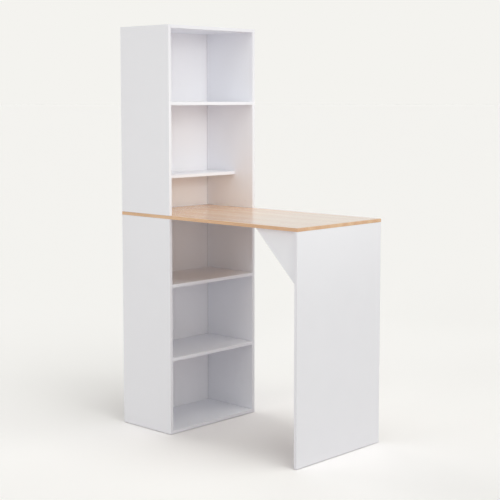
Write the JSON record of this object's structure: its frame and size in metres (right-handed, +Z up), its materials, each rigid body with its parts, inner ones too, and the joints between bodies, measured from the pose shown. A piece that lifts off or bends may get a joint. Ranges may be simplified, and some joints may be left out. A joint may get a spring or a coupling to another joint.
{
  "type": "bar table",
  "caption": "Bar table with a wood-look top, carried by a panel leg with two corner braces and by an open-fronted white shelf tower that rises above the top.",
  "frame": {"origin": "on the floor, under the middle of the tabletop, which is the middle of the bottom of the bounding box", "axes": "+Z up; +X along the tabletop from the shelf tower to the leg panel, which is the way the tower's compartments open; +Y across the table, from the near long edge in the picture to the far one"},
  "size_m": [1.17, 0.6, 2],
  "materials": {
    "white_board": "white melamine-faced particleboard with white edging, satin",
    "white_back": "thin white-lacquered hardboard, matte",
    "oak_board": "oak-look melamine-faced particleboard, satin, grain along X",
    "oak_edging": "oak-look plastic edge band, satin",
    "zinc": "bright zinc-plated",
    "beech": "bare beech",
    "white_plastic": "white plastic"
  },
  "bodies": {
    "root": {"lower_left_side": "white_board", "lower_right_side": "white_board", "bottom_panel": "white_board", "low_shelf": "white_board", "middle_shelf": "white_board", "lower_back": "white_back", "tabletop": "oak_board", "tabletop_band_near": "oak_edging", "tabletop_band_far": "oak_edging", "tabletop_band_tower": "oak_edging", "tabletop_band_leg": "oak_edging", "upper_left_side": "white_board", "upper_right_side": "white_board", "upper_back": "white_back", "shallow_shelf": "white_board", "upper_shelf": "white_board", "top_panel": "white_board", "leg_panel": "white_board", "near_brace": "white_board", "far_brace": "white_board", "bottom_panel_cam_left": "zinc", "bottom_panel_cam_right": "zinc", "low_shelf_cam_left": "zinc", "low_shelf_cam_right": "zinc", "middle_shelf_cam_left": "zinc", "middle_shelf_cam_right": "zinc", "shallow_shelf_cam_left": "zinc", "shallow_shelf_cam_right": "zinc", "upper_shelf_cam_left": "zinc", "upper_shelf_cam_right": "zinc", "top_panel_cam_left": "zinc", "top_panel_cam_right": "zinc", "tabletop_cam_left": "zinc", "tabletop_cam_right": "zinc", "leg_panel_cam_near": "zinc", "leg_panel_cam_far": "zinc", "near_brace_cam_top": "zinc", "near_brace_cam_leg": "zinc", "far_brace_cam_top": "zinc", "far_brace_cam_leg": "zinc", "bottom_panel_dowel_left": "beech", "bottom_panel_dowel_right": "beech", "low_shelf_dowel_left": "beech", "low_shelf_dowel_right": "beech", "middle_shelf_dowel_left": "beech", "middle_shelf_dowel_right": "beech", "shallow_shelf_dowel_left": "beech", "shallow_shelf_dowel_right": "beech", "upper_shelf_dowel_left": "beech", "upper_shelf_dowel_right": "beech", "top_panel_dowel_left": "beech", "top_panel_dowel_right": "beech", "tabletop_dowel_left": "beech", "tabletop_dowel_right": "beech", "glide_left_rear": "white_plastic", "glide_left_front": "white_plastic", "glide_right_rear": "white_plastic", "glide_right_front": "white_plastic", "glide_leg_near": "white_plastic", "glide_leg_far": "white_plastic"}
  },
  "joints": []
}
